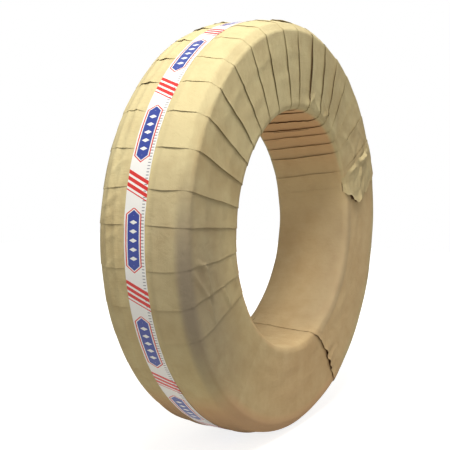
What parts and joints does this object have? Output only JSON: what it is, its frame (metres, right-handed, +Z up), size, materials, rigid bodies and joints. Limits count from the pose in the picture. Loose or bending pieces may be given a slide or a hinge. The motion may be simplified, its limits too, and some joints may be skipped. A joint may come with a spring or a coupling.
{
  "type": "coil of multilayer pipe",
  "caption": "Standing coil of multilayer plastic and aluminium pipe, closed in a wound strip of kraft paper with a printed tape hoop round its tread and an open bore through the middle.",
  "frame": {"origin": "on the coil's axis, in the middle of its bore", "axes": "+Y along the coil's axis, from the near end face to the far one; +Z up when the coil stands on its rim; +X across the coil"},
  "size_m": [0.7799, 0.172, 0.78],
  "materials": {
    "paper": "matte crepe kraft",
    "tape": "white film tape, satin",
    "pipe": "white polyethylene"
  },
  "bodies": {
    "root": {"pipe_coil": "pipe", "paper_wrap": "paper", "printed_tape": "tape"}
  },
  "joints": []
}
